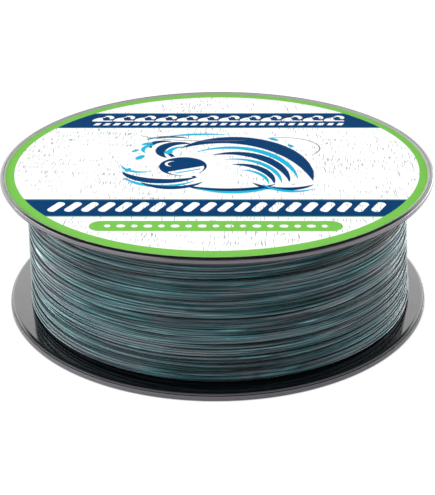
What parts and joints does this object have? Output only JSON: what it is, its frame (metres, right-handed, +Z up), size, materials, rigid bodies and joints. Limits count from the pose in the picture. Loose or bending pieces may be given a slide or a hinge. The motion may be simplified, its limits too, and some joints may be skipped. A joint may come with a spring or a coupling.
{
  "type": "fishing line spool",
  "caption": "Flanged filler spool wound with camouflage monofilament fishing line, with a round printed label on its upper flange.",
  "frame": {"origin": "centre of the face that the spool stands on, on the spool's axis", "axes": "+Z up along the spool's axis, from the lower flange to the labelled flange; +Y to the back; +X to the right of the label's design"},
  "size_m": [0.11, 0.11, 0.0364],
  "materials": {
    "black_plastic": "moulded gloss",
    "label_film": "printed, matt varnish",
    "camo_line": "semi-gloss extruded nylon"
  },
  "bodies": {
    "root": {"upper_flange": "black_plastic", "lower_flange": "black_plastic", "hub": "black_plastic", "face_label": "label_film", "line_inner_layers": "camo_line", "line_outer_turns": "camo_line"}
  },
  "joints": []
}
